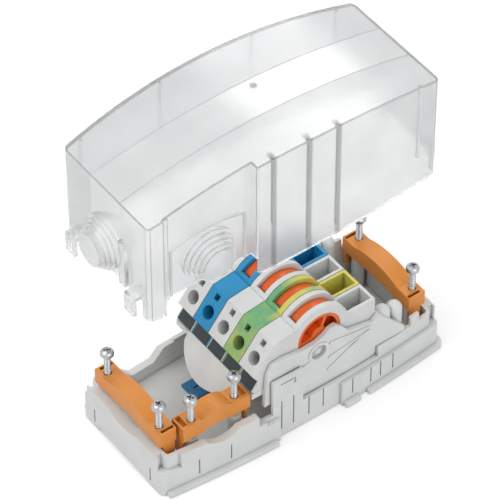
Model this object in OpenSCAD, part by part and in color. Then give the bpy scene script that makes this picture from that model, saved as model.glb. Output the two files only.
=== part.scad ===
// Power distribution block: a tray with five turn-lock tap terminals, three
// cable clamps and a clear cover that is lifted off along its guide line.
// X runs along the block, -Y is the side with the branch outlet, Z is up.

/* [Base tray] */
// Length of the tray over its end lips
base_l = 188; // [186:1:200]
// Radius of the bowed long sides
side_radius = 800; // [700:10:1200]
// Height of the tray wall
rim_z = 27; // [25:0.5:30]
// Height of the ledge that carries the cover
ledge_z = 17; // [15:0.5:19]
// How far the ledge stands out from the wall above it
ledge_out = 2.4; // [2.2:0.1:4]
// How far the foot flange stands out from the ledge
flange_out = 3; // [1:0.5:6]
// Thickness of the foot flange
flange_t = 3; // [2:0.5:5]
// Thickness of the tray wall
wall_t = 2; // [1.6:0.1:2.6]
// Thickness of the tray floor
floor_t = 3; // [2:0.5:4]
// Thickness of the lip at each end
lip_t = 1; // [0.8:0.1:1.4]
// Diameter of the two fixing holes in the floor
fixing_d = 4.5; // [3:0.5:6]
// Spacing of the two fixing holes
fixing_span = 132; // [120:1:136]
// Height of the pillars beside the terminals
pillar_z = 45; // [38:0.5:48]

/* [Cover] */
// Thickness of the cover's side walls
cover_side_t = 1.6; // [1.2:0.1:2.2]
// Thickness of the cover's end walls
cover_end_t = 1.4; // [1:0.1:1.8]
// Thickness of the roof
roof_t = 1.8; // [1.2:0.1:2.6]
// Height of the cover at the crown of its roof
cover_h = 77; // [74:0.5:90]
// Radius of the arched roof
roof_radius = 382; // [320:2:600]
// Least depth of the recess round the branch outlet
recess_d = 1.5; // [1:0.25:2.5]
// How far the cover is lifted off its seat
cover_lift = 122; // [100:1:140]
// Sideways drift of the cover over its whole lift
cover_drift = 6.5; // [0:0.5:7]
// Largest radius of a stepped cable outlet
gland_r = 16; // [12:0.5:17]
// Number of steps on a cable outlet
gland_steps = 5; // [3:1:6]

/* [Terminals] */
// Pitch from terminal to terminal
pitch = 13.8; // [13.2:0.1:15]
// Radius of a turn-lock wheel
wheel_r = 16.5; // [15:0.25:17]
// Width of a turn-lock wheel
wheel_w = 6.5; // [5:0.25:7]
// Radius of the wheel's front journal
journal_r = 14; // [12:0.25:14.25]
// Height of the wheel axis
wheel_z = 58; // [57.5:0.25:60]
// Radius of the wire entry
entry_r = 4; // [3:0.1:4.4]
// Slope of the wire entry face from the horizontal
face_angle = 52; // [49:1:56]

/* [Clamps] */
// Screw spacing of an end clamp
end_span = 47.5; // [44:0.5:50]
// Screw spacing of the branch clamp
branch_span = 28.5; // [27:0.5:31]
// Width of a clamp bar
bar_w = 11; // [10:0.25:12]
// Thickness of a clamp bar at its screws
bar_t = 9.6; // [8:0.2:11]
// Length of a clamp bar's legs
leg_h = 12; // [8:0.5:15]
// How far a clamp closes
clamp_travel = 3; // [2:0.5:4]
// Diameter of a clamp screw
screw_d = 4; // [3:0.25:4]
// Gap between a screw head and its clamp bar
head_gap = 14.4; // [10:0.2:15]

/* [Clearances] */
// Gap between tray wall and cover along the sides
side_gap = 0.4; // [0.3:0.05:0.6]
// Gap between the cover and its groove at the ends
end_gap = 0.9; // [0.8:0.1:1.2]
// Gap between neighbouring terminals
terminal_gap = 0.4; // [0.2:0.05:0.8]
// Radial gap of a wheel in its seat
bearing_gap = 0.1; // [0.05:0.01:0.1]
// Gap beside a wheel and round it
wheel_gap = 0.3; // [0.2:0.05:0.5]
// Radial gap round a screw
screw_gap = 0.15; // [0.1:0.05:0.3]
// Gap between a clamp bar and the closed cover
bar_gap = 0.5; // [0.4:0.05:1]
// Gap between the terminal carrier and the tray wall
carrier_gap = 0.3; // [0.2:0.05:0.6]

/* [Hidden] */
$fn = 96;
big = 400;
eps = 0.01;

GREY = [0.78, 0.80, 0.80];
WHITE = [0.88, 0.88, 0.86];
BLUE = [0.10, 0.45, 0.80];
GREEN = [0.50, 0.78, 0.35];
ORANGE = [0.95, 0.55, 0.20];
WHEEL_ORANGE = [0.95, 0.35, 0.10];
ZINC = [0.75, 0.76, 0.78];
TIN = [0.80, 0.78, 0.72];
CLEAR = [0.90, 0.93, 0.95, 0.4];

// Terminals across the block, and the carrier cheeks that hold them
modules = 5;
module_w = pitch - terminal_gap;
stack_half = modules * pitch / 2;
cheek_t = 2.6;
relief_t = 0.6;
cheek_out = stack_half + cheek_t;

// Plan of the block: all outlines share the centres of their bowed sides
base_half = base_l / 2;
rim_half_w = cheek_out + relief_t + carrier_gap + wall_t;
arc_centre = side_radius - rim_half_w;
ledge_half_w = rim_half_w + ledge_out;
flange_half_w = ledge_half_w + flange_out;
corner_r = 4;
cover_half = base_half - lip_t - end_gap;
cover_half_w = rim_half_w + side_gap + cover_side_t;
cover_in_half = cover_half - cover_end_t;
rim_half = cover_in_half - end_gap;

// Half width, at a place along the block, of the outline with this half width
function bow(x, half_w) = sqrt(pow(half_w + arc_centre, 2) - x * x) - arc_centre;

lip_half = bow(base_half, rim_half_w) - corner_r / 2;

// Clamps: heights at rest with the clamps open
rim_clear = 0.4;
bar_z = rim_z + rim_clear + bar_t + clamp_travel;
bar_out = 4.3;
bar_end = 6.2;
branch_end = 7.6;
leg_t = 2;
leg_in = 2.9;
leg_w = 7;
hump = 3.8;
boss_r = 3.8;
boss_z = rim_z + rim_clear - 0.2;
screw_r = screw_d / 2;
bore_r = screw_r + screw_gap;
head_r = 3.9;
head_h = 3.8;
head_z = bar_z + head_gap;
shank_z = boss_z - 2;
bore_z = shank_z - clamp_travel - head_gap - 0.4;

// Clamps: places, set by the closed cover and by each other
drift_at_head = cover_drift * (head_z + head_h - ledge_z) / cover_lift;
clamp_space = 1.75;
clamp1_x = -(cover_in_half - bar_gap - bar_out);
clamp2_x = clamp1_x + bar_w - bar_out + clamp_space + branch_span / 2 + branch_end;
clamp3_x = cover_in_half - drift_at_head - bar_gap - head_r;
recess_x0 = clamp2_x - 24.9;
recess_x1 = clamp2_x + 27.1;
recess_face = bow(recess_x0, cover_half_w) - recess_d;
clamp2_y = -(recess_face - cover_side_t - bar_gap - bar_out);

// Terminals along the block, measured from the middle of the stack's frame
beam_x = -33;
mid_x = clamp2_x + branch_span / 2 + branch_end + 0.75 - beam_x;
wheel_x = 12;
fin_r = wheel_r + 3;
seat_r = wheel_r + wheel_gap + 0.2;
slot_half = wheel_w / 2 + wheel_gap;
axle_r = 4;
module_z = 39;
face_x = -26.4;
face_z = 58;
face_up = 13.5;
face_down = 8.6;
face_c = cos(face_angle);
face_s = sin(face_angle);
pocket_x0 = 31.5;
pocket_x1 = 49.7;
pocket_z = 62;
pocket_wall = 1.7;
pocket_floor_z = module_z + 5;
throat_x0 = -21.5;
throat_l = 14.5;
entry_depth = 9;
contact_t = 1.5;
contact_w = 7;
contact_gap = 0.1;
contact_x = throat_x0 + throat_l - contact_t - contact_gap;
fork_x = 38;
spring_w = 6;

// Carrier under the terminals; its tail ends in the space before the right-hand clamp
tail_space = clamp3_x - (bar_w - bar_out) - mid_x - pocket_x1;
tail_x = pocket_x1 + 0.69 * tail_space;
lobe_r = min(4.6, tail_space / 6);
carrier_t = 4;
cheek_z = 19;
hub = [9.6, 48];
hub_r = 6.7;
hub_bore_r = 4.9;
tab_r = 26;
tab_drop = 17;
tab_t = 3.5;

// Cover: openings and outlets, given for the closed cover
roof_z = ledge_z + cover_h;
gland_z = rim_z + 3 + gland_r;
gland_step = 2.2;
gland_shrink = 1.6;
gland_wall = 1.2;
mouth_z = rim_z + 1;
end_mouth_w = 62;
rib_t = 1.2;
rib_in = 1.6;
rib_z = pillar_z + 2;
hook_y = [-25.5, 27];
hook_z = rim_z + 1.5;
hook_t = 2;
hook_w = 8;
hook_out = lip_t + end_gap + 1;

// Place of a terminal across the block: 1 is the rearmost, 5 the front one
function row_y(k) = (3 - k) * pitch;

// Barrel with bowed sides and flat ends
module lens(half_l, half_w) {
    intersection() {
        translate([0, -arc_centre]) circle(r = half_w + arc_centre, $fn = 720);
        translate([0, arc_centre]) circle(r = half_w + arc_centre, $fn = 720);
        square([2 * half_l, 4 * half_w], center = true);
    }
}

// Barrel with its four corners rounded, each round tangent to the end and cut a little by the side
module plan(half_l, half_w, r) {
    cut = 0.08 * r;
    xc = half_l - r;
    yc = sqrt(pow(half_w + arc_centre - r, 2) - xc * xc) - arc_centre + cut;
    intersection() {
        lens(half_l + 1, half_w);
        union() {
            square([2 * xc, 4 * half_w], center = true);
            square([2 * half_l, 2 * yc], center = true);
            for (sx = [-1, 1], sy = [-1, 1])
                translate([sx * xc, sy * yc]) circle(r = r);
        }
    }
}

// Upright plate of an X-Z outline between two places along Y
module upright(y0, y1) {
    translate([0, y1, 0]) rotate([90, 0, 0]) linear_extrude(y1 - y0) children();
}

// Slice of the block between two places along X
module slice(x0, x1, z) {
    translate([x0, -big / 2, 0]) cube([x1 - x0, big, z]);
}

// Places the children on a terminal's wire entry face, Z pointing out of it
module on_face(up, out) {
    translate([face_x + up * face_c - out * face_s, 0, face_z + up * face_s + out * face_c])
        rotate([0, -face_angle, 0]) children();
}

module mid() { translate([mid_x, 0, 0]) children(); }
module at_left() { translate([clamp1_x, 0, 0]) children(); }
module at_right() { translate([clamp3_x, 0, 0]) rotate([0, 0, 180]) children(); }
module at_branch() { translate([clamp2_x, clamp2_y, 0]) rotate([0, 0, 90]) children(); }

module at_screws() {
    for (s = [-1, 1]) {
        at_left() translate([0, s * end_span / 2, 0]) children();
        at_right() translate([0, s * end_span / 2, 0]) children();
        at_branch() translate([0, s * branch_span / 2, 0]) children();
    }
}

module inside_rim(gap) {
    plan(rim_half - wall_t - gap, rim_half_w - wall_t - gap, corner_r - wall_t);
}

module rim_ring(z) {
    linear_extrude(z) difference() {
        plan(rim_half, rim_half_w, corner_r);
        inside_rim(0);
    }
}

// Outline cut out of both long walls, seen from the front
module wall_notches() {
    low_wall = [-2.5, cheek_z + 0.5];
    low_wall_l = 52.5;
    notch = [-33, 20];
    notch_w = 11;
    translate(low_wall) square([low_wall_l, rim_z]);
    translate(notch) square([notch_w, rim_z]);
}

// Outline cut out of the rear wall beside the left-hand cable space
module rear_way() {
    sill_z = ledge_z + 1.5;
    way_z = 11.5;
    way = [clamp2_x - 6.5, clamp2_x + 8.5];
    slope = 7;
    x0 = clamp2_x - 20;
    x1 = mid_x + beam_x;
    polygon([
        [x0, sill_z], [way[0] - slope, sill_z], [way[0], way_z], [way[1], way_z], [way[1] + slope, sill_z],
        [x1, sill_z], [x1, big], [x0, big]
    ]);
}

// Sills between wall and lip at both ends, under the cover's cable mouths
module end_sills() {
    sill_half = end_mouth_w / 2 - 0.6;
    for (s = [0, 1]) mirror([s, 0, 0])
        translate([-base_half, -sill_half, 0]) cube([base_half - rim_half + wall_t / 2, 2 * sill_half, rim_z]);
}

// Full-height wall beside the branch outlet, where the cover ends above the wall
module branch_wall() {
    gap = 0.4;
    x0 = recess_x0 - cover_side_t + gap;
    x1 = recess_x1 + cover_side_t - gap - cover_drift * (mouth_z - ledge_z) / cover_lift;
    intersection() {
        linear_extrude(rim_z) plan(base_half, ledge_half_w, corner_r);
        translate([x0, -big, 0]) cube([x1 - x0, big, rim_z]);
    }
}

module tray_shell() {
    side_reach = 6;
    difference() {
        union() {
            linear_extrude(ledge_z) plan(base_half, ledge_half_w, corner_r);
            linear_extrude(rim_z) plan(rim_half, rim_half_w, corner_r);
            for (s = [0, 1]) mirror([s, 0, 0])
                translate([-base_half, -lip_half, 0]) cube([lip_t, 2 * lip_half, rim_z]);
            end_sills();
            branch_wall();
        }
        translate([0, 0, floor_t]) linear_extrude(big) inside_rim(0);
        for (s = [0, 1]) mirror([0, s, 0])
            mid() upright(-big, side_reach - rim_half_w) wall_notches();
        upright(rim_half_w - side_reach, big) rear_way();
    }
}

// Foot flanges, with a gap in the middle of each long side
module foot_flanges() {
    spans = [[-base_half + 3, mid_x - 22], [mid_x + 24, mid_x + 34], [mid_x + 40, base_half + 2]];
    for (span = spans)
        intersection() {
            linear_extrude(flange_t) difference() {
                plan(base_half + 2, flange_half_w, corner_r + 2);
                plan(base_half - 6, ledge_half_w - 2, corner_r);
            }
            slice(span[0], span[1], flange_t);
        }
}

module pillars() {
    post_z = rim_z + 6;
    intersection() {
        rim_ring(pillar_z);
        mid() slice(-22.5, -2.5, pillar_z);
    }
    intersection() {
        rim_ring(post_z);
        mid() slice(tail_x + 5, tail_x + 11, post_z);
    }
}

// Rails inside the long walls that carry the terminal carrier
module carrier_rails() {
    intersection() {
        linear_extrude(cheek_z) difference() {
            plan(rim_half - eps, rim_half_w - eps, corner_r);
            square([2 * base_l, 2 * stack_half - 4], center = true);
        }
        mid() slice(-14, tail_x + 1, cheek_z);
    }
}

// Upright grooves on the outside of the tray
module side_grooves() {
    groove_w = 0.9;
    groove_d = 0.7;
    ledge_grooves = [-71, -51, 30, 43, 50, 59];
    wall_grooves = [-16.8, -8.9, 1.5, 11.3];
    tall = 22;
    end_grooves = [-26, 26];
    for (x = ledge_grooves, s = [-1, 1])
        translate([x, s * bow(x, ledge_half_w), ledge_z / 2 + flange_t])
            cube([groove_w, 2 * groove_d, ledge_z - 2 * flange_t], center = true);
    for (x = wall_grooves, s = [-1, 1])
        translate([x + mid_x, s * bow(x + mid_x, rim_half_w), tall / 2 + 2 * flange_t])
            cube([groove_w, 2 * groove_d, tall], center = true);
    for (y = end_grooves)
        translate([-base_half, y, ledge_z / 2])
            cube([2 * groove_d, groove_w, ledge_z * 0.6], center = true);
}

// Middle stretch of each long side, where there is no ledge
module ledge_gaps() {
    difference() {
        mid() translate([0, 0, -1]) slice(-19, 23, big);
        translate([0, 0, -2]) linear_extrude(big) lens(base_l, rim_half_w);
    }
}

module catch_marks() {
    mark_d = 0.6;
    mark_l = 10;
    mark_w = 1.2;
    for (s = [0, 1]) mirror([0, s, 0])
        mid() translate([-17.5, -rim_half_w - mark_d, pillar_z - 4]) {
            cube([mark_l, 2 * mark_d, mark_w]);
            translate([mark_l - mark_w, 0, -3]) cube([mark_w, 2 * mark_d, 4]);
        }
}

// Round dips in the walls under the three clamps
module cable_dips() {
    end_dip_r = 24;
    end_dip_z = rim_z - 3.5 + end_dip_r;
    end_dip_l = base_half - rim_half + wall_t + 2;
    branch_dip_r = 14.5;
    branch_dip_z = rim_z - 4 + branch_dip_r;
    branch_dip_l = ledge_out + wall_t + 4;
    for (s = [0, 1]) mirror([s, 0, 0])
        translate([-base_half - 1, 0, end_dip_z]) rotate([0, 90, 0]) cylinder(r = end_dip_r, h = end_dip_l);
    translate([clamp2_x, 2 - bow(clamp2_x, rim_half_w - wall_t), branch_dip_z]) rotate([90, 0, 0])
        cylinder(r = branch_dip_r, h = branch_dip_l);
}

// Shallow relief under each end, between the corner feet
module foot_relief() {
    relief = [12, 44, 1.2];
    for (s = [0, 1]) mirror([s, 0, 0])
        translate([-base_half - 3, -relief[1] / 2, -1]) cube([relief[0] + 3, relief[1], relief[2] + 1]);
}

module base_tray() {
    fixing_y = 18;
    color(GREY) difference() {
        union() {
            tray_shell();
            foot_flanges();
            pillars();
            carrier_rails();
            at_screws() translate([0, 0, floor_t - eps]) cylinder(r = boss_r, h = boss_z - floor_t + eps);
        }
        at_screws() translate([0, 0, bore_z]) cylinder(r = bore_r, h = big);
        for (s = [-1, 1])
            translate([s * fixing_span / 2, fixing_y, -1]) cylinder(d = fixing_d, h = floor_t + 2);
        ledge_gaps();
        side_grooves();
        catch_marks();
        cable_dips();
        foot_relief();
    }
}

// Clip that lies on the tray floor beside the terminals
module floor_clip() {
    clip = [14, 13, 1.6];
    slit = [6, 2, 4];
    color(BLUE) mid() translate([-41, 6.5, floor_t]) difference() {
        cube(clip);
        translate([4, 5.5, -1]) cube(slit);
    }
}

module cheek_outline() {
    polygon([
        [-26.4, 27], [-24.5, 50], [-21.5, 56.3], [-14, 57.2], [-2, 55.4], [8, 56], [13, 58.2], [17, 61.3],
        [21, 61.6], [25, 58], [30, 51.5], [46, 47.8], [pocket_x1 + carrier_gap, 51], [pocket_x1 + 0.19 * tail_space, 46],
        [tail_x, 31], [tail_x, cheek_z], [-13, cheek_z], [-16, 27]
    ]);
}

// Hub ring and wedge ribs on the outer face of a cheek
module cheek_relief() {
    difference() {
        translate(hub) circle(r = hub_r);
        translate(hub) circle(r = hub_bore_r);
    }
    polygon([[17, 51], [45, 46.5], [45, 45.3], [17, 49.5]]);
    polygon([[17, 40], [44, 44], [44, 42.8], [16, 38.6]]);
    polygon([[16, 31], [40, 43], [41, 42], [16, 29]]);
    polygon([[-8, 41], [3, 44], [3, 42.8], [-8, 39.8]]);
}

// Round-topped post beside the right-hand cable space
module lobe(x, z) {
    lobe_y = -bow(x + mid_x, rim_half_w) + wall_t + carrier_gap + lobe_r;
    translate([x, lobe_y, cheek_z]) cylinder(r = lobe_r, h = z - cheek_z);
    translate([x, lobe_y, z]) sphere(r = lobe_r);
}

module carrier_side() {
    tail_in = 3;
    upright(-cheek_out, -stack_half) cheek_outline();
    upright(-stack_half - eps, tail_in - stack_half) intersection() {
        cheek_outline();
        translate([pocket_x1 + carrier_gap, 0]) square([big, big]);
    }
    upright(-cheek_out - relief_t, -cheek_out + relief_t) cheek_relief();
    lobe(pocket_x1 + 0.28 * tail_space, 44);
    lobe(pocket_x1 + 0.6 * tail_space, 41);
}

// Pin with a domed end in a cheek's hub
module hub_pin() {
    pin_r = 2.6;
    dome_r = 3;
    intersection() {
        translate([hub[0], -stack_half, hub[1]]) rotate([90, 0, 0]) cylinder(r = pin_r, h = cheek_t + relief_t);
        translate([hub[0], dome_r - cheek_out - relief_t / 2, hub[1]]) sphere(r = dome_r);
    }
}

module terminal_carrier() {
    plate_z = module_z - carrier_t;
    tab_half = -clamp2_y - (bar_w - bar_out) - bar_gap;
    hub_floor = 0.8;
    channel = [62, contact_w + 2 * contact_gap, contact_t + 2 * contact_gap];
    color(GREY) difference() {
        mid() {
            translate([beam_x, -stack_half - eps, plate_z])
                cube([pocket_x1 - beam_x, 2 * stack_half + 2 * eps, carrier_t]);
            for (s = [0, 1]) mirror([0, s, 0]) carrier_side();
            translate([beam_x + 2, 0, plate_z + 1]) rotate([0, -face_angle, 0]) intersection() {
                translate([tab_r - tab_drop, 0, 0]) cylinder(r = tab_r, h = tab_t);
                translate([-big / 2, -tab_half, -1]) cube([big / 2 + 2, 2 * tab_half, tab_t + 2]);
            }
        }
        mid() for (k = [1:modules])
            translate([-20, row_y(k) - channel[1] / 2, module_z - channel[2]]) cube(channel + [0, 0, 1]);
        for (s = [0, 1]) mirror([0, s, 0])
            mid() difference() {
                upright(-cheek_out - 2, -stack_half - hub_floor) translate(hub) circle(r = hub_bore_r);
                hub_pin();
            }
        linear_extrude(rim_z + carrier_gap) difference() {
            square(big, center = true);
            inside_rim(carrier_gap);
        }
    }
}

// Side view of a terminal body
module terminal_outline() {
    top = [face_x + face_up * face_c, face_z + face_up * face_s];
    low = [face_x - face_down * face_c, face_z - face_down * face_s];
    under = [low[0] + 3.2, low[1] - 4.6];
    toe = [under[0] - 4.2, module_z + 1.8];
    intersection() {
        union() {
            polygon([
                top, low, [low[0] + 1.2, low[1] - 1.8], under, toe, [toe[0] + 1.6, module_z],
                [pocket_x1, module_z], [pocket_x1, pocket_z], [wheel_x, pocket_z], [wheel_x - fin_r + 3, 70.4]
            ]);
            translate([wheel_x, wheel_z]) circle(r = fin_r);
        }
        translate([-big / 2, module_z]) square([big, big]);
    }
}

module terminal(k, tint) {
    opening = [7, 11.4, 12];
    opening_up = -13.1;
    opening_depth = 14;
    test_hole = 3.6;
    test_up = 9.8;
    test_depth = 12;
    past = 6;
    throat_w = spring_w + 1.6;
    throat_h = 18;
    slit_w = contact_w + 2 * contact_gap;
    color(tint) mid() translate([0, row_y(k), 0]) difference() {
        upright(-module_w / 2, module_w / 2) terminal_outline();
        // Seat of the wheel, open at the top, with its two bearings
        upright(-slot_half, slot_half) {
            translate([wheel_x, wheel_z]) circle(r = seat_r);
            intersection() {
                translate([wheel_x, wheel_z]) circle(r = fin_r + 4);
                translate([wheel_x, wheel_z]) polygon([[0, 0], [-big, big], [big, big], [big, 7], [7, 7]]);
            }
        }
        upright(-module_w, 0) translate([wheel_x, wheel_z]) circle(r = journal_r + bearing_gap);
        upright(0, module_w) translate([wheel_x, wheel_z]) circle(r = axle_r + bearing_gap);
        // Pocket for the through wire
        translate([pocket_x0, -module_w / 2 + pocket_wall, pocket_floor_z])
            cube([pocket_x1 - pocket_wall - pocket_x0, module_w - 2 * pocket_wall, big]);
        // Wire entry, test hole and the opening under the face
        on_face(0, -entry_depth) cylinder(r = entry_r, h = entry_depth + past);
        on_face(test_up, -test_depth) translate([-test_hole / 2, -test_hole / 2, 0])
            cube([test_hole, test_hole, test_depth + past]);
        on_face(opening_up, -opening_depth) translate([-opening[0] / 2, -opening[1] / 2, 0]) cube(opening);
        // Throat behind the wire entry and slits for the contact
        translate([throat_x0, -throat_w / 2, module_z + 4]) cube([throat_l, throat_w, throat_h]);
        translate([contact_x - contact_gap, -slit_w / 2, module_z - 1])
            cube([contact_t + 2 * contact_gap, slit_w, throat_h]);
        translate([fork_x - contact_gap, -slit_w / 2, module_z - 1])
            cube([contact_t + 2 * contact_gap, slit_w, pocket_floor_z - module_z + 2]);
    }
}

// Contact bar on the carrier with its wire plate and its cutting fork
module contact(k) {
    bar_low = module_z - contact_t - contact_gap;
    plate_top = module_z + 16;
    fork_top = module_z + 10;
    slit = 1.2;
    color(TIN) mid() translate([0, row_y(k), 0]) difference() {
        translate([0, -contact_w / 2, bar_low]) {
            translate([contact_x, 0, 0]) cube([fork_x + contact_t - contact_x, contact_w, contact_t]);
            translate([contact_x, 0, 0]) cube([contact_t, contact_w, plate_top - bar_low]);
            translate([fork_x, 0, 0]) cube([contact_t, contact_w, fork_top - bar_low]);
        }
        translate([fork_x - 1, -slit / 2, module_z + 6]) cube([contact_t + 2, slit, big]);
    }
}

// Leaf spring that presses the wire on the contact plate
module spring(k) {
    foot_x = contact_x - contact_gap;
    top_z = module_z + 15;
    low_z = module_z + 5.5;
    leaf_t = 0.6;
    color(ZINC) mid() translate([0, row_y(k), 0]) upright(-spring_w / 2, spring_w / 2) polygon([
        [foot_x, top_z - 4], [foot_x, top_z], [foot_x - 5, top_z + 3], [foot_x - 8.5, top_z],
        [foot_x - 0.2, low_z], [foot_x - 0.2, low_z + 1.2], [foot_x - 7.6, top_z - 0.2],
        [foot_x - 5, top_z + 3 - leaf_t * 1.6], [foot_x - leaf_t, top_z - leaf_t], [foot_x - leaf_t, top_z - 4]
    ]);
}

// Turn-lock wheel with its journals, screwdriver slot and spoked face
module wheel(k) {
    slot_angle = 48;
    slot = [2.2, wheel_w - 2, 5];
    side_l = (module_w - wheel_w) / 2;
    journal_l = side_l - 0.2;
    dish_r = journal_r - 2;
    web = 1.8;
    spokes = 3;
    color(WHEEL_ORANGE) mid() translate([wheel_x, row_y(k), wheel_z]) difference() {
        union() {
            rotate([90, 0, 0]) cylinder(r = wheel_r, h = wheel_w, center = true);
            translate([0, -wheel_w / 2 + eps, 0]) rotate([90, 0, 0]) cylinder(r = journal_r, h = journal_l);
            translate([0, wheel_w / 2 + journal_l, 0]) rotate([90, 0, 0]) cylinder(r = axle_r, h = side_l);
        }
        rotate([0, -slot_angle, 0]) translate([-slot[0] / 2, -slot[1] / 2, wheel_r - slot[2]]) cube(slot + [0, 0, 1]);
        difference() {
            translate([0, -wheel_w / 2 + web, 0]) rotate([90, 0, 0]) cylinder(r = dish_r, h = module_w);
            translate([0, wheel_w, 0]) rotate([90, 0, 0]) cylinder(r = axle_r + 1, h = 2 * module_w);
            for (i = [0:spokes - 1])
                rotate([0, 20 + i * 360 / spokes, 0]) translate([-web / 2, -module_w, 0]) cube([web, 2 * module_w, wheel_r]);
        }
    }
}

// Clamp bar along Y, its screws on X = 0, its outer face towards -X, its top at Z = 0
module clamp_bar(span, end) {
    half = span / 2 + end;
    inner = span / 2 - head_r - 0.4;
    rib_y = span / 2 - 6.5;
    rise_r = (inner * inner + hump * hump) / (2 * hump);
    under = 1.5;
    under_r = (inner * inner + under * under) / (2 * under);
    pocket = [leg_w + 1, end - screw_r - 2.4, 3];
    rib = [leg_w, 0.8, 5];
    rib_drop = 2;
    leg_x = leg_in - bar_out;
    difference() {
        union() {
            translate([bar_w - bar_out, 0, 0]) rotate([90, 0, -90]) linear_extrude(bar_w) difference() {
                union() {
                    translate([-half, -bar_t]) square([2 * half, bar_t]);
                    intersection() {
                        translate([0, hump - rise_r]) circle(r = rise_r);
                        translate([-half, -bar_t / 2]) square([2 * half, bar_t + hump]);
                    }
                }
                translate([0, under - bar_t - under_r]) circle(r = under_r);
            }
            for (s = [0, 1]) mirror([0, s, 0]) {
                translate([leg_x, half - leg_t, -bar_t - leg_h]) cube([leg_w, leg_t, leg_h + 1]);
                for (place = [0, 2])
                    translate([leg_x, rib_y + rib[1] - place, -bar_t - rib_drop]) cube(rib);
            }
        }
        for (s = [0, 1]) mirror([0, s, 0]) {
            translate([0, span / 2, -bar_t - 1]) cylinder(r = bore_r + 0.15, h = bar_t + 2);
            translate([leg_x - 0.5, half - 1 - pocket[1], -pocket[2]]) cube(pocket + [0, 0, 1]);
        }
    }
}

// Pan-head clamp screws with a cross slot
module clamp_screws(span) {
    cross = [5, 1, 1.6];
    cross_turn = 30;
    shoulder = 1.6;
    dome_r = head_r * 1.4;
    for (s = [-1, 1])
        translate([0, s * span / 2, 0]) difference() {
            union() {
                translate([0, 0, shank_z]) cylinder(r = screw_r, h = head_z - shank_z + eps);
                translate([0, 0, head_z]) cylinder(r = head_r, h = shoulder);
                intersection() {
                    translate([0, 0, head_z + head_h - dome_r]) sphere(r = dome_r);
                    translate([0, 0, head_z + shoulder - eps]) cylinder(r = head_r, h = head_h);
                }
            }
            for (a = [0, 90])
                rotate([0, 0, a + cross_turn]) translate([-cross[0] / 2, -cross[1] / 2, head_z + head_h - cross[2]])
                    cube(cross + [0, 0, 1]);
        }
}

// Outline of the cover, moved in by the given wall thicknesses
module cover_outline(side_in, end_in, r) {
    difference() {
        plan(cover_half - end_in, cover_half_w - side_in, r);
        translate([recess_x0 - side_in, -big])
            square([recess_x1 - recess_x0 + 2 * side_in, big - recess_face + side_in]);
    }
}

module under_roof(inset) {
    translate([0, 0, roof_z - roof_radius]) rotate([90, 0, 0])
        cylinder(r = roof_radius - inset, h = big, center = true, $fn = 720);
}

// Stepped outlet along +Z from a root behind it; the inner one is smaller by the given wall
module gland(wall, root) {
    for (i = [0:gland_steps - 1])
        translate([0, 0, -root])
            cylinder(r = gland_r - i * gland_shrink - wall, h = root + (i + 1) * gland_step - wall);
}

module at_glands() {
    translate([-cover_half, 0, gland_z]) rotate([0, -90, 0]) children();
    translate([clamp2_x, -recess_face, gland_z]) rotate([90, 0, 0]) children();
}

// Cable mouths along the lower edge of the cover
module cover_mouths() {
    mouth_reach = 5;
    for (s = [0, 1]) mirror([s, 0, 0])
        translate([-cover_half - 1, -end_mouth_w / 2, 0]) cube([mouth_reach, end_mouth_w, mouth_z]);
    translate([recess_x0 - cover_side_t, -recess_face - big, 0])
        cube([recess_x1 - recess_x0 + 2 * cover_side_t, big + mouth_reach, mouth_z]);
}

// Upright ribs on the inside of the cover's long walls
module cover_ribs() {
    front_ribs = [[mid_x - 17.7, rib_z], [mid_x + 4.6, cheek_z + 3], [mid_x + 23.3, cheek_z + 3], [79, rim_z + 8]];
    rear_ribs = [-82, -30, 28, 80];
    root = 0.5;
    intersection() {
        union() {
            for (rib = front_ribs)
                translate([rib[0] - rib_t / 2, -bow(rib[0], cover_half_w - cover_side_t) - root, rib[1]])
                    cube([rib_t, rib_in + root, big]);
            for (x = rear_ribs)
                translate([x - rib_t / 2, bow(x, cover_half_w - cover_side_t) - rib_in, rib_z])
                    cube([rib_t, rib_in + root, big]);
        }
        under_roof(roof_t / 2);
    }
}

// Snap hooks at both ends that reach down outside the tray lips
module cover_hooks() {
    drop = hook_z - ledge_z - 1;
    frame = 2;
    for (s = [0, 1], y = hook_y) mirror([s, 0, 0])
        translate([-cover_half - hook_out - hook_t, y - hook_w / 2, hook_z]) {
            cube([hook_out + hook_t + cover_end_t / 2, hook_w, hook_t]);
            difference() {
                translate([0, 0, -drop]) cube([hook_t, hook_w, drop + eps]);
                translate([-1, frame, frame - drop]) cube([hook_t + 2, hook_w - 2 * frame, drop - 2 * frame]);
            }
        }
}

// Low skirt along the long sides, left out at the recess
module cover_skirt() {
    skirt_h = 2;
    skirt_out = 0.8;
    translate([0, 0, ledge_z]) linear_extrude(skirt_h) intersection() {
        lens(cover_half - corner_r - 2, cover_half_w + skirt_out);
        union() {
            translate([-big, 0]) square([2 * big, big]);
            translate([recess_x1 + cover_side_t + 1, -big]) square([big, big + eps]);
        }
    }
}

// Two fine creases along the roof
module roof_creases() {
    crease = 0.5;
    crease_y = 12.5;
    difference() {
        for (y = [-crease_y, crease_y])
            translate([-base_l, y - crease / 2, 0]) cube([2 * base_l, crease, big]);
        under_roof(crease);
    }
}

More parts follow.
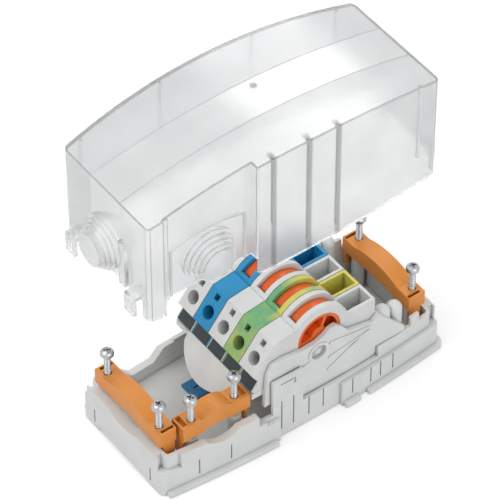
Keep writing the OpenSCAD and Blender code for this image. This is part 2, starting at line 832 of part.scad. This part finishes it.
module cover() {
    rail = [2.6, 5, 30];
    rail_y = -16.5;
    rail_z = hook_z + 1;
    color(CLEAR) translate([-cover_drift, 0, cover_lift]) {
        difference() {
            union() {
                intersection() {
                    translate([0, 0, ledge_z]) linear_extrude(cover_h) cover_outline(0, 0, corner_r);
                    under_roof(0);
                }
                cover_skirt();
                at_glands() gland(0, cover_end_t / 2);
                translate([-cover_half - rail[0], rail_y - rail[1] / 2, rail_z]) cube(rail + [cover_end_t / 2, 0, 0]);
            }
            intersection() {
                translate([0, 0, ledge_z - 1]) linear_extrude(cover_h + 1)
                    cover_outline(cover_side_t, cover_end_t, corner_r / 2);
                under_roof(roof_t);
            }
            at_glands() gland(gland_wall, cover_side_t + 1);
            cover_mouths();
            roof_creases();
        }
        cover_ribs();
        cover_hooks();
    }
}

base_tray();
floor_clip();
terminal_carrier();
terminal(1, WHITE);  // terminal_1
terminal(2, BLUE);  // terminal_2
terminal(3, WHITE);  // terminal_3
terminal(4, GREEN);  // terminal_4
terminal(5, WHITE);  // terminal_5
wheel(1);  // wheel_1
wheel(2);  // wheel_2
wheel(3);  // wheel_3
wheel(4);  // wheel_4
wheel(5);  // wheel_5
contact(1);  // contact_1
contact(2);  // contact_2
contact(3);  // contact_3
contact(4);  // contact_4
contact(5);  // contact_5
spring(1);  // spring_1
spring(2);  // spring_2
spring(3);  // spring_3
spring(4);  // spring_4
spring(5);  // spring_5
color(ORANGE) at_left() translate([0, 0, bar_z]) clamp_bar(end_span, bar_end);  // left_clamp
color(ORANGE) at_right() translate([0, 0, bar_z]) clamp_bar(end_span, bar_end);  // right_clamp
color(ORANGE) at_branch() translate([0, 0, bar_z]) clamp_bar(branch_span, branch_end);  // branch_clamp
color(ZINC) at_left() clamp_screws(end_span);  // left_screws
color(ZINC) at_right() clamp_screws(end_span);  // right_screws
color(ZINC) at_branch() clamp_screws(branch_span);  // branch_screws
cover();
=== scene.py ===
"""Power distribution block: materials, screws, small trim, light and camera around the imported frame."""
import math

import bmesh
import bpy
from mathutils import Matrix, Vector


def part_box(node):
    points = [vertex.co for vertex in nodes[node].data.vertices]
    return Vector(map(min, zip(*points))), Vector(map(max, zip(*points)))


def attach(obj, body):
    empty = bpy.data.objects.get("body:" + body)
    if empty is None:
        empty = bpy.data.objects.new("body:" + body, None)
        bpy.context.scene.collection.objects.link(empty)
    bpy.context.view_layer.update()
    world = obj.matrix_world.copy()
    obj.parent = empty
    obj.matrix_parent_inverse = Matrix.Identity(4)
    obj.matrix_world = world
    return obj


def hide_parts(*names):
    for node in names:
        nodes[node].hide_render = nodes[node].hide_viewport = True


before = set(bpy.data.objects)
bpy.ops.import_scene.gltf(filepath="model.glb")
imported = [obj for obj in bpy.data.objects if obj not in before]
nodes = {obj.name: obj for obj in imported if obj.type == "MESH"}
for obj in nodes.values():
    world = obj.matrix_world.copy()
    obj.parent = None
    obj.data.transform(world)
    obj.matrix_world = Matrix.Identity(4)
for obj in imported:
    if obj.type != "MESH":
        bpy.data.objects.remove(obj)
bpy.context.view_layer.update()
scene = bpy.context.scene

MM = 0.001
ROWS = (1, 2, 3, 4, 5)
PLACES = ("left", "branch", "right")
CORNERS = ((-1, -1), (1, -1), (1, 1), (-1, 1))

# Camera: the photograph's viewing angle through a long lens
VIEW_AZIMUTH = math.radians(-36.4)
VIEW_ELEVATION = math.radians(45.8)
VIEW_DISTANCE = 1.9528
VIEW_TARGET = Vector((0.0285, 0.0504, 0.0422))
LENS = 254.2
SENSOR = 36.0
CLIP_NEAR = 0.05
CLIP_FAR = 20.0


def view_back(azimuth, elevation):
    """Unit vector from the target towards the camera."""
    flat = math.cos(elevation)
    return Vector((math.sin(azimuth) * flat, -math.cos(azimuth) * flat, math.sin(elevation)))


def make_camera():
    """Camera at the photograph's place, aimed at the target."""
    data = bpy.data.cameras.new("camera")
    data.lens = LENS
    data.sensor_width = SENSOR
    data.clip_start = CLIP_NEAR
    data.clip_end = CLIP_FAR
    camera = bpy.data.objects.new("camera", data)
    scene.collection.objects.link(camera)
    back = view_back(VIEW_AZIMUTH, VIEW_ELEVATION)
    camera.location = VIEW_TARGET + back * VIEW_DISTANCE
    camera.rotation_euler = (-back).to_track_quat("-Z", "Y").to_euler()
    scene.camera = camera


# Narrow gaps: tone of the painted shade as a share of the plastic's colour, how far a gap reaches,
# and the openness at which the painted shade begins and ends
GAP_SHADE_TONE = 0.4
GAP_REACH = 3.0 * MM
GAP_SPAN = (0.15, 0.75)

# Moulded grain of the plastics
GRAIN_SIZE = 0.5 * MM
GRAIN_DEPTH = 0.012 * MM
PLASTIC_IOR = 1.5
PLASTIC_SHINE = 0.42


class Shader:
    """A new material with a Principled shader and short ways to add nodes to it."""

    def __init__(self, name):
        self.material = bpy.data.materials.new(name)
        self.material.use_nodes = True
        self.tree = self.material.node_tree
        self.surface = self.tree.nodes["Principled BSDF"]
        self.place = self.add("ShaderNodeTexCoord").outputs["Object"]

    def add(self, kind, **settings):
        """A new node with its settings."""
        node = self.tree.nodes.new(kind)
        for key, value in settings.items():
            setattr(node, key, value)
        return node

    def link(self, source, target):
        """Joins an output to an input."""
        self.tree.links.new(source, target)

    def put(self, **values):
        """Constant values on the Principled shader's own sockets."""
        for key, value in values.items():
            self.surface.inputs[key.replace("_", " ")].default_value = value

    def drive(self, key, source):
        """A node's output on one of the Principled shader's sockets."""
        self.link(source, self.surface.inputs[key])

    def axis(self, index):
        """The place along X, Y or Z."""
        node = self.add("ShaderNodeSeparateXYZ")
        self.link(self.place, node.inputs["Vector"])
        return node.outputs[index]

    def noise(self, size, detail=2.0, rough=0.5):
        """Noise whose features are about size metres across."""
        node = self.add("ShaderNodeTexNoise")
        node.inputs["Scale"].default_value = 1.0 / size
        node.inputs["Detail"].default_value = detail
        node.inputs["Roughness"].default_value = rough
        self.link(self.place, node.inputs["Vector"])
        return node.outputs["Fac"]

    def span(self, source, low, high, start=0.3, end=0.7):
        """The source taken from start..end to low..high."""
        node = self.add("ShaderNodeMapRange")
        node.inputs["From Min"].default_value = start
        node.inputs["From Max"].default_value = end
        node.inputs["To Min"].default_value = low
        node.inputs["To Max"].default_value = high
        self.link(source, node.inputs["Value"])
        return node.outputs["Result"]

    def rise(self, source, start, end):
        """0 up to the start, 1 from the end on."""
        return self.span(source, 0.0, 1.0, start, end)

    def fall(self, source, start, end):
        """1 up to the start, 0 from the end on."""
        return self.span(source, 1.0, 0.0, start, end)

    def calc(self, kind, a, b=0.0):
        """Arithmetic on two values, each a number or a node's output."""
        node = self.add("ShaderNodeMath", operation=kind)
        for socket, value in zip(node.inputs, (a, b)):
            if isinstance(value, float):
                socket.default_value = value
            else:
                self.link(value, socket)
        return node.outputs["Value"]

    def mix(self, factor, a, b):
        """Colour that runs from a to b with the factor."""
        node = self.add("ShaderNodeMix", data_type="RGBA")
        self.link(factor, node.inputs["Factor"])
        for socket, value in zip((node.inputs[6], node.inputs[7]), (a, b)):
            if isinstance(value, tuple):
                socket.default_value = value + (1.0,)
            else:
                self.link(value, socket)
        return node.outputs[2]

    def bump(self, height, depth):
        """Fine relief in the surface."""
        node = self.add("ShaderNodeBump")
        node.inputs["Distance"].default_value = depth
        node.inputs["Strength"].default_value = 1.0
        self.link(height, node.inputs["Height"])
        self.drive("Normal", node.outputs["Normal"])

    def grain(self, size, depth, gloss):
        """Fine moulded or worked grain, in height and in gloss."""
        fine = self.noise(size, detail=3.0, rough=0.6)
        self.drive("Roughness", self.span(fine, *gloss))
        self.bump(fine, depth)

    def paint(self, tone, painted_shade_colour):
        """The tone in the open, running into a painted shade colour deep in narrow gaps."""
        shelter = self.add("ShaderNodeAmbientOcclusion", samples=6)
        shelter.inputs["Distance"].default_value = GAP_REACH
        open_share = self.rise(shelter.outputs["AO"], *GAP_SPAN)
        self.drive("Base Color", self.mix(open_share, painted_shade_colour, tone))


def shade(colour, factor):
    """The colour made darker or lighter."""
    return tuple(min(1.0, part * factor) for part in colour)


# Moulded plastic

DRIFT_SIZE = 18.0 * MM
DRIFT_SHARE = 0.05
SATIN = (0.36, 0.5)
SOFT_RADIUS = (0.002, 0.001, 0.0006)
SOFT_SCALE = 0.4


def moulded(name, colour, gloss=SATIN, soft=0.0):
    """Injection-moulded plastic: slow tone drift, painted shade in narrow gaps, fine spark-eroded grain."""
    s = Shader(name)
    drift = s.noise(DRIFT_SIZE, detail=3.0, rough=0.55)
    darker = shade(colour, 1 - DRIFT_SHARE)
    lighter = shade(colour, 1 + DRIFT_SHARE)
    tone = s.mix(s.span(drift, 0.0, 1.0), darker, lighter)
    # Painted shade: the tone runs into a darker copy of the colour deep in narrow gaps
    s.paint(tone, shade(colour, GAP_SHADE_TONE))
    s.grain(GRAIN_SIZE, GRAIN_DEPTH, gloss)
    s.put(IOR=PLASTIC_IOR, Specular_IOR_Level=PLASTIC_SHINE)
    if soft:
        s.put(Subsurface_Weight=soft, Subsurface_Radius=SOFT_RADIUS, Subsurface_Scale=SOFT_SCALE)
    return s.material


# Yellow streaks of the two-tone terminal: where each one begins and ends along X or across Y
POCKET_X = (18.0 * MM, 28.0 * MM)
REAR_RAIL_X = (4.0 * MM, 18.0 * MM)
REAR_RAIL_Y = (-13.0 * MM, -10.5 * MM)
FRONT_RAIL_X = (-12.0 * MM, -2.0 * MM)
FRONT_RAIL_END_X = (12.0 * MM, 20.0 * MM)
FRONT_RAIL_Y = (-17.8 * MM, -16.0 * MM)
ENTRY_FACE_X = (-24.0 * MM, -14.0 * MM)
ENTRY_FACE_SHARE = 0.35
SWIRL_SIZE = 9.0 * MM
SWIRL_SHARE = 0.22
TWO_TONE_GLOSS = (0.32, 0.46)


def two_tone(name, green, yellow):
    """Green plastic that runs into yellow streaks towards the wheel, the pocket and the wire entry."""
    s = Shader(name)
    x = s.axis(0)
    y = s.axis(1)
    pocket = s.rise(x, *POCKET_X)
    rear_rail = s.calc("MULTIPLY", s.rise(x, *REAR_RAIL_X), s.rise(y, *REAR_RAIL_Y))
    front_rail = s.calc("MULTIPLY", s.rise(x, *FRONT_RAIL_X), s.fall(y, *FRONT_RAIL_Y))
    front_rail = s.calc("MULTIPLY", front_rail, s.fall(x, *FRONT_RAIL_END_X))
    streak = s.span(x, ENTRY_FACE_SHARE, 0.0, *ENTRY_FACE_X)
    for other in (pocket, rear_rail, front_rail):
        streak = s.calc("MAXIMUM", streak, other)
    swirl = s.span(s.noise(SWIRL_SIZE), -SWIRL_SHARE, SWIRL_SHARE)
    blend = s.calc("ADD", streak, swirl)
    blend.node.use_clamp = True
    # Painted shade: the green runs into a darker copy of itself deep in narrow gaps
    s.paint(s.mix(blend, green, yellow), shade(green, GAP_SHADE_TONE))
    s.grain(GRAIN_SIZE, GRAIN_DEPTH, TWO_TONE_GLOSS)
    s.put(IOR=PLASTIC_IOR, Specular_IOR_Level=PLASTIC_SHINE)
    return s.material


# Plated metal

STAIN_SIZE = 3.0 * MM
STAIN_TONES = (0.86, 1.08)
PLATE_GRAIN = 0.7 * MM
PLATE_DEPTH = 0.006 * MM
BRIGHT = (0.16, 0.3)
ZINC_GLOSS = (0.2, 0.34)


def plated(name, colour, gloss=BRIGHT):
    """Plated metal with faint cloudy stains."""
    s = Shader(name)
    cloud = s.noise(STAIN_SIZE, detail=4.0, rough=0.6)
    stained, clean = (shade(colour, tone) for tone in STAIN_TONES)
    s.drive("Base Color", s.mix(s.span(cloud, 0.0, 1.0), stained, clean))
    s.grain(PLATE_GRAIN, PLATE_DEPTH, gloss)
    s.put(Metallic=1.0)
    return s.material


# Clear plastic: polished between the creases of the roof; the front ribs, thicker than the wall, carry
# painted shade

CREASE_Y = 12.5 * MM
CREASE_BLUR = 1.0 * MM
RIB_X = (-24.2 * MM, -1.9 * MM, 16.8 * MM)
RIB_Y = -36.5 * MM
RIB_W = 2.4 * MM
RIB_BLUR = 1.0 * MM
RIB_SHADE_TONE = 0.6
FLOW_SIZE = 30.0 * MM
FLOW_SHARE = 0.05
CLOUD_SIZE = 6.0 * MM
WAVE_SIZE = 12.0 * MM
WAVE_DEPTH = 0.02 * MM


def clear(name, colour, share, gloss):
    """Clear polycarbonate with a slightly cloudy moulded skin; share is how much light it lets through."""
    s = Shader(name)
    x = s.axis(0)
    y = s.axis(1)
    flow = s.noise(FLOW_SIZE, detail=3.0, rough=0.5)
    tone = s.mix(s.span(flow, 0.0, 1.0), shade(colour, 1 - FLOW_SHARE), shade(colour, 1 + FLOW_SHARE))
    # Painted shade: the base colour darkens along the front ribs
    rib_shade = 0.0
    for rib in RIB_X:
        from_rib = s.calc("ABSOLUTE", s.calc("SUBTRACT", x, rib))
        rib_shade = s.calc("MAXIMUM", s.fall(from_rib, 0.5 * RIB_W, 0.8 * RIB_W), rib_shade)
    rib_shade = s.calc("MULTIPLY", rib_shade, s.fall(y, RIB_Y - RIB_BLUR, RIB_Y + RIB_BLUR))
    s.drive("Base Color", s.mix(rib_shade, tone, shade(colour, RIB_SHADE_TONE)))
    fine = s.noise(CLOUD_SIZE, detail=3.0, rough=0.55)
    s.drive("Roughness", s.span(fine, *gloss))
    from_middle = s.calc("ABSOLUTE", y)
    s.drive("Coat Weight", s.fall(from_middle, CREASE_Y - CREASE_BLUR, CREASE_Y + CREASE_BLUR))
    s.bump(s.noise(WAVE_SIZE), WAVE_DEPTH)
    s.put(IOR=1.45, Transmission_Weight=share, Specular_IOR_Level=0.25, Coat_Roughness=0.15)
    return s.material


CLEAR_GLOSS = (0.16, 0.22)
EDGE_GLOSS = (0.1, 0.16)
WHEEL_GLOSS = (0.26, 0.38)

GREY = moulded("grey_plastic", (0.73, 0.745, 0.735))
PALE = moulded("white_plastic", (0.70, 0.71, 0.70))
BLUE = moulded("blue_plastic", (0.015, 0.265, 0.52))
CLIP_BLUE = moulded("clip_blue_plastic", (0.04, 0.2, 0.4))
TWO_TONE = two_tone("green_yellow_plastic", (0.15, 0.42, 0.19), (0.68, 0.61, 0.12))
ORANGE = moulded("orange_plastic", (0.77, 0.28, 0.05), soft=0.08)
WHEEL = moulded("wheel_plastic", (0.82, 0.13, 0.012), WHEEL_GLOSS)
ZINC = plated("zinc", (0.46, 0.47, 0.49), ZINC_GLOSS)
TINNED = plated("contact_metal", (0.76, 0.72, 0.64))
STEEL = plated("spring_steel", (0.55, 0.55, 0.56))
CLEAR = clear("clear_plastic", (0.82, 0.83, 0.835), 0.8, CLEAR_GLOSS)
# Painted highlight: whiter, less clear plastic on the outlet bead stands for the white glints along it
CLEAR_BEAD_GLINT = clear("clear_plastic_bead_glint", (0.93, 0.935, 0.94), 0.35, CLEAR_GLOSS)
# Painted shade: near-black, less clear plastic on the cover's rounded edges stands for the dark lines along
# them
CLEAR_EDGE_SHADE = clear("clear_plastic_edge_shade", (0.09, 0.095, 0.1), 0.4, EDGE_GLOSS)
# Painted shade: near-black plastic for the plates and plugs that stand for the shade deep in the terminal
# openings
SHADE_DARK = moulded("painted_shade_plastic", (0.033, 0.044, 0.05))

TERMINAL_LOOKS = {1: PALE, 2: BLUE, 3: PALE, 4: TWO_TONE, 5: PALE}

LOOKS = {"base_tray": GREY, "floor_clip": CLIP_BLUE, "terminal_carrier": GREY, "cover": CLEAR}
for row in ROWS:
    LOOKS[f"terminal_{row}"] = TERMINAL_LOOKS[row]
    LOOKS[f"wheel_{row}"] = WHEEL
    LOOKS[f"contact_{row}"] = TINNED
    LOOKS[f"spring_{row}"] = STEEL
for place in PLACES:
    LOOKS[f"{place}_clamp"] = ORANGE
    LOOKS[f"{place}_screws"] = ZINC

# Soft edges of the CAD nodes
EDGE = 0.25 * MM
COVER_EDGE = 0.5 * MM
FLAT_ANGLE = math.radians(0.5)
EDGE_ANGLE = math.radians(40)


def dress(obj, look, edge, edge_look=None):
    """Gives a CAD node its material and soft edges, which may have a look of their own."""
    obj.data.materials.clear()
    obj.data.materials.append(look)
    flat = obj.modifiers.new("flat", "DECIMATE")
    flat.decimate_type = "DISSOLVE"
    flat.angle_limit = FLAT_ANGLE
    soft = obj.modifiers.new("soft", "BEVEL")
    soft.width = edge
    soft.segments = 2
    soft.limit_method = "ANGLE"
    soft.angle_limit = EDGE_ANGLE
    soft.use_clamp_overlap = False
    soft.miter_outer = "MITER_ARC"
    if edge_look:
        obj.data.materials.append(edge_look)
        soft.material = 1


for name, look in LOOKS.items():
    if name == "cover":
        # The cover's rounded edges get the painted shade
        dress(nodes[name], look, COVER_EDGE, CLEAR_EDGE_SHADE)
    else:
        dress(nodes[name], look, EDGE)


# Ways to make a mesh


def add_ring(mesh, centre, radii, height):
    """Adds a level ring of points about the centre, with one radius for each point, and returns it."""
    ring = []
    for i, radius in enumerate(radii):
        angle = 2 * math.pi * i / len(radii)
        reach = Vector((radius * math.cos(angle), radius * math.sin(angle), height))
        ring.append(mesh.verts.new(centre + reach))
    return ring


def add_skin(mesh, rings):
    """Adds the faces of a closed solid through the rings, which all have the same count of points."""
    count = len(rings[0])
    for low, high in zip(rings, rings[1:]):
        for i in range(count):
            j = (i + 1) % count
            mesh.faces.new((low[i], low[j], high[j], high[i]))
    mesh.faces.new(list(reversed(rings[0])))
    mesh.faces.new(rings[-1])


def to_object(name, mesh):
    """Turns the bmesh into an object in the scene."""
    data = bpy.data.meshes.new(name)
    bmesh.ops.recalc_face_normals(mesh, faces=mesh.faces)
    mesh.to_mesh(data)
    mesh.free()
    obj = bpy.data.objects.new(name, data)
    scene.collection.objects.link(obj)
    return obj


def cut(obj, cutter):
    """Takes the cutter out of the object for good, and removes the cutter."""
    step = obj.modifiers.new("cut", "BOOLEAN")
    step.operation = "DIFFERENCE"
    step.solver = "EXACT"
    step.use_self = True
    step.object = cutter
    ready = obj.evaluated_get(bpy.context.evaluated_depsgraph_get())
    data = bpy.data.meshes.new_from_object(ready)
    obj.modifiers.clear()
    obj.data = data
    bpy.data.objects.remove(cutter)


def smooth(obj, angle):
    """Smooth shading with sharp edges kept above the angle, in degrees."""
    obj.data.polygons.foreach_set("use_smooth", [True] * len(obj.data.polygons))
    obj.data.set_sharp_from_angle(angle=math.radians(angle))


def soften(obj, width, segments):
    """Rounds all edges of a small piece."""
    soft = obj.modifiers.new("soft", "BEVEL")
    soft.width = width
    soft.segments = segments


# Clamp screws: pan heads with a cross recess on threaded shanks

ROUND = 28
HEAD_H = 3.8 * MM
HEAD_RIM = 1.1 * MM
HEAD_BREAK = 0.3 * MM
HEAD_SINK = 0.2 * MM
DOME_STEPS = 7
DOME_FLAT = 0.06
NECK_R = 1.75 * MM
NECK_H = 1.6 * MM
NECK_SLOPE = 3.0
CREST_R = 2.0 * MM
ROOT_R = 1.5 * MM
THREAD_PITCH = 1.3 * MM
THREAD_SLOPE = 4.0
TURN_STEPS = 8
TIP_H = 2.4 * MM
TIP_R = 0.4 * MM
CROSS_LONG = 4.3 * MM
CROSS_WIDE = 1.0 * MM
CROSS_DEEP = 2.0 * MM
CROSS_OVER = 0.5 * MM
CROSS_FOOT = 0.55
CROSS_MOUTH = 1.1
HEAD_SMOOTH = 35
SHANK_SMOOTH = 60


def lathe(mesh, centre, profile):
    """Adds a closed turned solid to the bmesh; the profile holds (radius, height) from bottom to top."""
    rings = []
    for radius, height in profile:
        rings.append(add_ring(mesh, centre, [radius] * ROUND, height))
    add_skin(mesh, rings)


def head_profile(top, radius):
    """Pan head: a short upright rim under a low dome."""
    dome = HEAD_H - HEAD_RIM
    bottom = top - HEAD_H
    profile = [(radius - HEAD_BREAK, bottom), (radius, bottom + HEAD_BREAK), (radius, top - dome)]
    for i in range(1, DOME_STEPS + 1):
        angle = 0.5 * math.pi * i / DOME_STEPS
        reach = max(math.cos(angle), DOME_FLAT)
        profile.append((radius * reach, top - dome + dome * math.sin(angle)))
    return profile


def thread_radius(height, turn, bottom, top):
    """Radius of a shank at a height and a share of a turn: helical ridge, point below, neck above."""
    phase = (height / THREAD_PITCH - turn) % 1.0
    ridge = max(0.0, 1.0 - abs(phase - 0.5) * THREAD_SLOPE)
    radius = ROOT_R + (CREST_R - ROOT_R) * ridge
    point = min(1.0, (height - bottom) / TIP_H)
    radius = min(radius, TIP_R + (CREST_R - TIP_R) * point)
    neck = max(0.0, (height - top + NECK_H) / NECK_H)
    return radius + (NECK_R - radius) * min(1.0, neck * NECK_SLOPE)


def thread(mesh, centre, bottom, top):
    """Adds a threaded shank to the bmesh."""
    rings = []
    count = int((top - bottom) / (THREAD_PITCH / TURN_STEPS))
    for k in range(count + 1):
        height = bottom + (top - bottom) * k / count
        radii = [thread_radius(height, i / ROUND, bottom, top) for i in range(ROUND)]
        rings.append(add_ring(mesh, centre, radii, height))
    add_skin(mesh, rings)


def cross_cutter(mesh, centre, top, turn):
    """Adds two crossing wedges that narrow downwards."""
    for arm in (0, 1):
        spin = Matrix.Rotation(turn + arm * math.pi / 2, 4, "Z")
        rings = []
        for height, grow in ((top - CROSS_DEEP, CROSS_FOOT), (top + CROSS_OVER, CROSS_MOUTH)):
            ring = []
            for sx, sy in CORNERS:
                flat = Vector((sx * CROSS_LONG * grow / 2, sy * CROSS_WIDE / 2, 0.0))
                ring.append(mesh.verts.new(centre + spin @ flat + Vector((0, 0, height))))
            rings.append(ring)
        add_skin(mesh, rings)


def make_screws(place, turns):
    """Two screws in the place of a CAD screw pair, their crosses turned by the given degrees."""
    node = f"{place}_screws"
    low, high = (Vector(corner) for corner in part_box(node))
    size = high - low
    middle = (low + high) / 2
    radius = min(size.x, size.y) / 2
    long_axis = 1 if size.y > size.x else 0
    run = Vector((0.0, 0.0, 0.0))
    run[long_axis] = size[long_axis] / 2 - radius
    heads = bmesh.new()
    shanks = bmesh.new()
    crosses = bmesh.new()
    for side, turn in zip((-1, 1), turns):
        axis = Vector((middle.x, middle.y, 0.0)) + run * side
        lathe(heads, axis, head_profile(high.z, radius))
        thread(shanks, axis, low.z, high.z - HEAD_H + HEAD_SINK)
        cross_cutter(crosses, axis, high.z, math.radians(turn))
    head = to_object(f"{place}_screw_heads", heads)
    cut(head, to_object("cross", crosses))
    smooth(head, HEAD_SMOOTH)
    shank = to_object(f"{place}_screw_shanks", shanks)
    smooth(shank, SHANK_SMOOTH)
    for piece in (head, shank):
        piece.data.materials.clear()
        piece.data.materials.append(ZINC)
        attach(piece, f"{place}_screw_pair")
    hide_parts(node)


make_screws("left", (20, 65))
make_screws("branch", (40, 10))
make_screws("right", (75, 30))


# Painted shade in the openings under the wire entry faces: a dark plate on the strip round an opening and a
# plug behind it stand for the shade deep in it, with their places up and out from the middle of the face

FACE = Vector((-26.4 * MM, 0.0, 58.0 * MM))
FACE_ANGLE = math.radians(52)
FACE_UP = Vector((math.cos(FACE_ANGLE), 0.0, math.sin(FACE_ANGLE)))
FACE_OUT = Vector((-math.sin(FACE_ANGLE), 0.0, math.cos(FACE_ANGLE)))
SHADE_PLATE = {"up": -13.8 * MM, "out": -5.4 * MM, "size": (7.2 * MM, 11.7 * MM, 0.6 * MM)}
SHADE_PLUG = {"up": -13.1 * MM, "out": -7.1 * MM, "size": (6.8 * MM, 11.2 * MM, 3.0 * MM)}
SHADE_PLUG_EDGE = 0.15 * MM


def make_shade_plug(row):
    """Dark plate with a plug behind it that closes the opening of a terminal: painted shade."""
    low, high = (Vector(corner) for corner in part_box(f"terminal_{row}"))
    turn = Matrix((FACE_UP, Vector((0.0, 1.0, 0.0)), FACE_OUT)).transposed().to_4x4()
    mesh = bmesh.new()
    for block in (SHADE_PLATE, SHADE_PLUG):
        middle = FACE + FACE_UP * block["up"] + FACE_OUT * block["out"]
        middle.y = (low.y + high.y) / 2
        place = Matrix.Translation(middle) @ turn @ Matrix.Diagonal(Vector(block["size"]).to_4d())
        bmesh.ops.create_cube(mesh, size=1.0, matrix=place)
    painted_shade_block = to_object(f"shutter_{row}", mesh)
    # Painted shade: the dark plate and plug stand for the shade deep in the opening
    painted_shade_block.data.materials.append(SHADE_DARK)
    soften(painted_shade_block, SHADE_PLUG_EDGE, 2)
    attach(painted_shade_block, "base")


# Gate mark on the roof: its place, and its profile as radius and height in millimetres

GATE_X = -1.2 * MM
GATE_Y = 7.2 * MM
GATE_SINK = 0.15 * MM
GATE_PROFILE = ((2.0, -0.4), (2.0, 0.2), (1.7, 0.35), (1.3, 0.2), (0.7, 0.15), (0.5, 0.45), (0.15, 0.5))
GATE_SMOOTH = 40


def make_gate_mark():
    """Low ring with a nub where the moulding gate was cut off the roof."""
    high = Vector(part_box("cover")[1])
    mesh = bmesh.new()
    profile = [(radius * MM, height * MM) for radius, height in GATE_PROFILE]
    lathe(mesh, Vector((GATE_X, GATE_Y, high.z - GATE_SINK)), profile)
    mark = to_object("gate_mark", mesh)
    mark.data.materials.append(CLEAR)
    smooth(mark, GATE_SMOOTH)
    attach(mark, "cover_shell")


# Bead that frames the front outlet: two legs joined by a low arch, on the outside of the cover's front wall

WALL_Y = -36.45 * MM
BEAD_X = -62.1 * MM
BEAD_HALF = 23.0 * MM
BEAD_R = 65.0 * MM
BEAD_TOP = 186.6 * MM
BEAD_FOOT = 150.4 * MM
BEAD_W = 1.3 * MM
BEAD_OUT = 1.1 * MM
BEAD_IN = 0.3 * MM
BEAD_EDGE = 0.35 * MM
BEAD_STEPS = 16


def arch_line(grow):
    """Places along X and Z of the arch with its legs, moved outwards by grow."""
    half = BEAD_HALF + grow
    radius = BEAD_R + grow
    sweep = math.asin(half / radius)
    line = [(-half, BEAD_FOOT)]
    for i in range(BEAD_STEPS + 1):
        angle = sweep * (2 * i / BEAD_STEPS - 1)
        line.append((radius * math.sin(angle), BEAD_TOP - BEAD_R + radius * math.cos(angle)))
    line.append((half, BEAD_FOOT))
    return line


def make_outlet_frame():
    """Bead with a square section along the arch, its edges rounded."""
    mesh = bmesh.new()
    rings = []
    for inner, outer in zip(arch_line(-BEAD_W / 2), arch_line(BEAD_W / 2)):
        corners = ((inner, BEAD_IN), (outer, BEAD_IN), (outer, -BEAD_OUT), (inner, -BEAD_OUT))
        rings.append([mesh.verts.new((BEAD_X + x, WALL_Y + y, z)) for (x, z), y in corners])
    add_skin(mesh, rings)
    bead = to_object("outlet_frame", mesh)
    # Painted highlight: the whiter bead plastic stands for its glints
    bead.data.materials.append(CLEAR_BEAD_GLINT)
    soften(bead, BEAD_EDGE, 3)
    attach(bead, "cover_shell")


for row in ROWS:
    make_shade_plug(row)
make_gate_mark()
make_outlet_frame()

# The clear cover lets the light through
nodes["cover"].visible_shadow = False


# Stage: floor, sky and lamps

WHITE = (1.0, 1.0, 1.0, 1.0)
FLOOR_Z = -0.5 * MM
FLOOR_HALF = 3.0
FLOOR_TONE = (0.8, 0.8, 0.8, 1.0)
FLOOR_GLOW = 0.35
SKY_LIGHT = 0.55
SKY_SEEN = 1.0
SEEN_RAYS = ("Is Glossy Ray", "Is Transmission Ray")
LAMP_TARGET = Vector((0.0, 0.0, 0.08))


def make_floor():
    """White floor that keeps a pale shadow."""
    mesh = bpy.data.meshes.new("floor")
    corners = [(sx * FLOOR_HALF, sy * FLOOR_HALF, FLOOR_Z) for sx, sy in CORNERS]
    mesh.from_pydata(corners, [], [(0, 1, 2, 3)])
    floor = bpy.data.objects.new("floor", mesh)
    scene.collection.objects.link(floor)
    s = Shader("floor")
    s.put(Base_Color=FLOOR_TONE, Roughness=0.9, Specular_IOR_Level=0.1, Emission_Color=WHITE)
    path = s.add("ShaderNodeLightPath")
    seen = path.outputs["Is Camera Ray"]
    for kind in SEEN_RAYS:
        seen = s.calc("MAXIMUM", seen, path.outputs[kind])
    s.drive("Emission Strength", s.calc("MULTIPLY", seen, FLOOR_GLOW))
    mesh.materials.append(s.material)


def make_world():
    """Plain soft sky, white where it is seen."""
    world = bpy.data.worlds.new("studio")
    scene.world = world
    world.use_nodes = True
    tree = world.node_tree
    sky = tree.nodes["Background"]
    sky.inputs["Color"].default_value = WHITE
    path = tree.nodes.new("ShaderNodeLightPath")
    seen = path.outputs["Is Camera Ray"]
    for kind in SEEN_RAYS:
        either = tree.nodes.new("ShaderNodeMath")
        either.operation = "MAXIMUM"
        tree.links.new(seen, either.inputs[0])
        tree.links.new(path.outputs[kind], either.inputs[1])
        seen = either.outputs["Value"]
    level = tree.nodes.new("ShaderNodeMapRange")
    level.inputs["To Min"].default_value = SKY_LIGHT
    level.inputs["To Max"].default_value = SKY_SEEN
    tree.links.new(seen, level.inputs["Value"])
    tree.links.new(level.outputs["Result"], sky.inputs["Strength"])


def make_lamp(name, azimuth, elevation, distance, size, power):
    """Square area lamp aimed at the part, its angles in degrees."""
    data = bpy.data.lights.new(name, "AREA")
    data.energy = power
    data.size = size
    lamp = bpy.data.objects.new(name, data)
    scene.collection.objects.link(lamp)
    back = view_back(math.radians(azimuth), math.radians(elevation))
    lamp.location = LAMP_TARGET + back * distance
    lamp.rotation_euler = (-back).to_track_quat("-Z", "Y").to_euler()


make_camera()
make_floor()
make_world()
make_lamp("key", azimuth=-105, elevation=55, distance=1.6, size=1.2, power=8.0)
make_lamp("fill", azimuth=0, elevation=30, distance=1.8, size=1.4, power=8.0)
make_lamp("sheen", azimuth=138, elevation=41, distance=1.8, size=0.5, power=2.8)

scene.view_settings.view_transform = "Standard"
